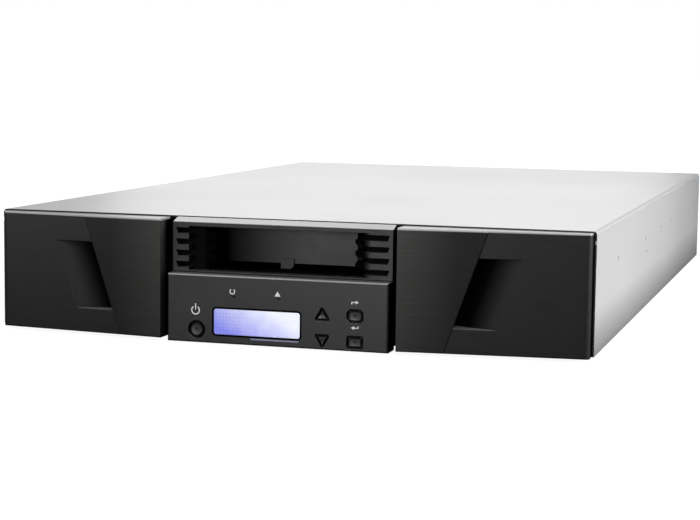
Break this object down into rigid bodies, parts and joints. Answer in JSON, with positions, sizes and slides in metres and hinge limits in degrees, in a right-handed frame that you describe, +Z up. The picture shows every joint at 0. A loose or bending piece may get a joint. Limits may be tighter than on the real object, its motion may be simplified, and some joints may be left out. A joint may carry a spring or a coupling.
{
  "type": "data tape library",
  "caption": "Two-unit rack tape library with removable side magazines, a centre mail slot over a control panel, and a picker robot inside.",
  "frame": {"origin": "on the ground, under the middle of the object's box", "axes": "+X to the right seen from the front, +Y to the back, +Z up; the front faces -Y"},
  "size_m": [0.447, 0.741, 0.09],
  "materials": {
    "cover_steel": "satin light grey",
    "bare_steel": "zinc-plated sheet, satin",
    "black_frame": "black powder coat",
    "rubber": "matt",
    "bright_steel": "bright",
    "face_black": "black with fine level brushing",
    "bezel_black": "moulded, satin",
    "guide_black": "moulded, matt",
    "door_grey": "moulded, satin",
    "panel_black": "satin",
    "key_black": "satin",
    "window": "clear, glossy",
    "lit_display": "lit screen",
    "board_green": "solder resist",
    "lens": "clear light pipe",
    "ribbon": "flat cable",
    "carrier_grey": "moulded",
    "cartridge_shell": "moulded, fine texture",
    "belt_black": "matt",
    "gear_white": "acetal",
    "brass": "machined",
    "motor_dark": "black",
    "cast_grey": "die-cast",
    "drive_black": "black casing",
    "supply_steel": "plated casing",
    "black_plastic": "moulded"
  },
  "bodies": {
    "chassis": {"chassis_base": "bare_steel", "top_cover": "cover_steel", "rear_panel": "bare_steel", "front_frame": "black_frame", "bay_walls": "bare_steel", "rubber_feet": "rubber", "rear_screws": "bright_steel", "mail_slot_bezel": "bezel_black", "mail_slot_guide": "guide_black", "door_pin": "bright_steel", "door_spring": "bright_steel", "control_panel": "panel_black", "display_window": "window", "display_module": "lit_display", "panel_board": "board_green", "status_lights": "lens", "ribbon_cable": "ribbon", "magazine_motors": "motor_dark", "picker_bed": "bare_steel", "picker_rods": "bright_steel", "tape_drive": "drive_black", "drive_sled": "bare_steel", "power_supply": "supply_steel", "power_inlet": "black_plastic", "fan_frame": "black_plastic", "controller_board": "board_green"},
    "picker_carriage": {"picker_carriage": "cast_grey", "picker_bushes": "brass", "picker_motors": "motor_dark"},
    "mail_slot_door": {"mail_slot_door": "door_grey"},
    "power_button": {"power_button": "key_black"},
    "up_button": {"up_button": "key_black"},
    "down_button": {"down_button": "key_black"},
    "escape_button": {"escape_button": "key_black"},
    "enter_button": {"enter_button": "key_black"},
    "travel_pinion": {"travel_pinion": "brass"},
    "turntable": {"turntable": "carrier_grey"},
    "turntable_pinion": {"turntable_pinion": "brass"},
    "gripper_rail": {"gripper_rail": "bright_steel"},
    "picker_gripper": {"picker_gripper": "bare_steel"},
    "power_switch": {"power_switch": "black_plastic"},
    "fan_rotor": {"fan_rotor": "black_plastic"},
    "left_magazine": {"left_magazine_front": "face_black", "left_magazine_tray": "bare_steel", "left_carriers": "carrier_grey", "left_cartridges": "cartridge_shell", "left_belt": "belt_black"},
    "left_front_pulley": {"left_front_pulley": "gear_white"},
    "left_rear_pulley": {"left_rear_pulley": "gear_white"},
    "left_idler_gear": {"left_idler_gear": "gear_white"},
    "left_motor_pinion": {"left_motor_pinion": "brass"},
    "right_magazine": {"right_magazine_front": "face_black", "right_magazine_tray": "bare_steel", "right_carriers": "carrier_grey", "right_cartridges": "cartridge_shell", "right_belt": "belt_black"},
    "right_front_pulley": {"right_front_pulley": "gear_white"},
    "right_rear_pulley": {"right_rear_pulley": "gear_white"},
    "right_idler_gear": {"right_idler_gear": "gear_white"},
    "right_motor_pinion": {"right_motor_pinion": "brass"}
  },
  "joints": [
    {"name": "left_magazine_slide", "type": "slide", "parent": "chassis", "child": "left_magazine", "axis": [0, -1, 0], "range_m": [0, 0.56]},
    {"name": "left_rear_pulley_spin", "type": "hinge", "parent": "left_magazine", "child": "left_rear_pulley", "pos_m": [-0.2085, 0.09116, 0.0465], "axis": [1, 0, 0], "continuous": true},
    {"name": "left_front_pulley_spin", "type": "hinge", "parent": "left_magazine", "child": "left_front_pulley", "pos_m": [-0.2085, -0.2653, 0.0465], "axis": [1, 0, 0], "continuous": true},
    {"name": "left_idler_gear_spin", "type": "hinge", "parent": "left_magazine", "child": "left_idler_gear", "pos_m": [-0.2135, 0.13916, 0.0465], "axis": [1, 0, 0], "continuous": true},
    {"name": "left_motor_pinion_spin", "type": "hinge", "parent": "chassis", "child": "left_motor_pinion", "pos_m": [-0.2135, 0.17516, 0.0465], "axis": [1, 0, 0], "continuous": true},
    {"name": "right_magazine_slide", "type": "slide", "parent": "chassis", "child": "right_magazine", "axis": [0, -1, 0], "range_m": [0, 0.56]},
    {"name": "right_rear_pulley_spin", "type": "hinge", "parent": "right_magazine", "child": "right_rear_pulley", "pos_m": [0.2085, 0.09116, 0.0465], "axis": [1, 0, 0], "continuous": true},
    {"name": "right_front_pulley_spin", "type": "hinge", "parent": "right_magazine", "child": "right_front_pulley", "pos_m": [0.2085, -0.2653, 0.0465], "axis": [1, 0, 0], "continuous": true},
    {"name": "right_idler_gear_spin", "type": "hinge", "parent": "right_magazine", "child": "right_idler_gear", "pos_m": [0.2135, 0.13916, 0.0465], "axis": [1, 0, 0], "continuous": true},
    {"name": "right_motor_pinion_spin", "type": "hinge", "parent": "chassis", "child": "right_motor_pinion", "pos_m": [0.2135, 0.17516, 0.0465], "axis": [1, 0, 0], "continuous": true},
    {"name": "door_hinge", "type": "hinge", "parent": "chassis", "child": "mail_slot_door", "pos_m": [0, -0.3405, 0.0842], "axis": [1, 0, 0], "range_deg": [0, 75], "stiffness_Nm_per_rad": 0.004},
    {"name": "power_button_press", "type": "slide", "parent": "chassis", "child": "power_button", "axis": [0, 1, 0], "range_m": [0, 0.001], "stiffness_N_per_m": 300},
    {"name": "up_button_press", "type": "slide", "parent": "chassis", "child": "up_button", "axis": [0, 1, 0], "range_m": [0, 0.001], "stiffness_N_per_m": 300},
    {"name": "down_button_press", "type": "slide", "parent": "chassis", "child": "down_button", "axis": [0, 1, 0], "range_m": [0, 0.001], "stiffness_N_per_m": 300},
    {"name": "escape_button_press", "type": "slide", "parent": "chassis", "child": "escape_button", "axis": [0, 1, 0], "range_m": [0, 0.001], "stiffness_N_per_m": 300},
    {"name": "enter_button_press", "type": "slide", "parent": "chassis", "child": "enter_button", "axis": [0, 1, 0], "range_m": [0, 0.001], "stiffness_N_per_m": 300},
    {"name": "carriage_slide", "type": "slide", "parent": "chassis", "child": "picker_carriage", "axis": [0, 1, 0], "range_m": [-0.105, 0.105]},
    {"name": "travel_pinion_spin", "type": "hinge", "parent": "picker_carriage", "child": "travel_pinion", "pos_m": [-0.031, -0.0605, 0.009], "axis": [0, 0, 1], "range_deg": [-670, 670]},
    {"name": "turntable_spin", "type": "hinge", "parent": "picker_carriage", "child": "turntable", "pos_m": [0, -0.0905, 0.048], "axis": [0, 0, 1], "range_deg": [-90, 180]},
    {"name": "turntable_pinion_spin", "type": "hinge", "parent": "picker_carriage", "child": "turntable_pinion", "pos_m": [0.03278, -0.12957, 0.047], "axis": [0, 0, 1], "range_deg": [-842, 422]},
    {"name": "gripper_rail_slide", "type": "slide", "parent": "turntable", "child": "gripper_rail", "axis": [0, -1, 0], "range_m": [0, 0.04]},
    {"name": "gripper_slide", "type": "slide", "parent": "gripper_rail", "child": "picker_gripper", "axis": [0, -1, 0], "range_m": [0, 0.04]},
    {"name": "power_switch_rock", "type": "hinge", "parent": "chassis", "child": "power_switch", "pos_m": [-0.131, 0.3575, 0.065], "axis": [0, 0, 1], "range_deg": [0, 20]},
    {"name": "fan_spin", "type": "hinge", "parent": "chassis", "child": "fan_rotor", "pos_m": [0.183, 0.3495, 0.047], "axis": [0, 1, 0], "continuous": true}
  ],
  "couplings": [
    {"joint": "left_front_pulley_spin", "follows": "left_rear_pulley_spin", "ratio": 1},
    {"joint": "left_idler_gear_spin", "follows": "left_rear_pulley_spin", "ratio": -0.77778},
    {"joint": "left_motor_pinion_spin", "follows": "left_rear_pulley_spin", "ratio": 2.3333},
    {"joint": "right_front_pulley_spin", "follows": "right_rear_pulley_spin", "ratio": 1},
    {"joint": "right_idler_gear_spin", "follows": "right_rear_pulley_spin", "ratio": -0.77778},
    {"joint": "right_motor_pinion_spin", "follows": "right_rear_pulley_spin", "ratio": 2.3333},
    {"joint": "travel_pinion_spin", "follows": "carriage_slide", "rad_per_m": 111.11},
    {"joint": "turntable_pinion_spin", "follows": "turntable_spin", "ratio": -4.6667},
    {"joint": "gripper_slide", "follows": "gripper_rail_slide", "ratio": 1}
  ]
}
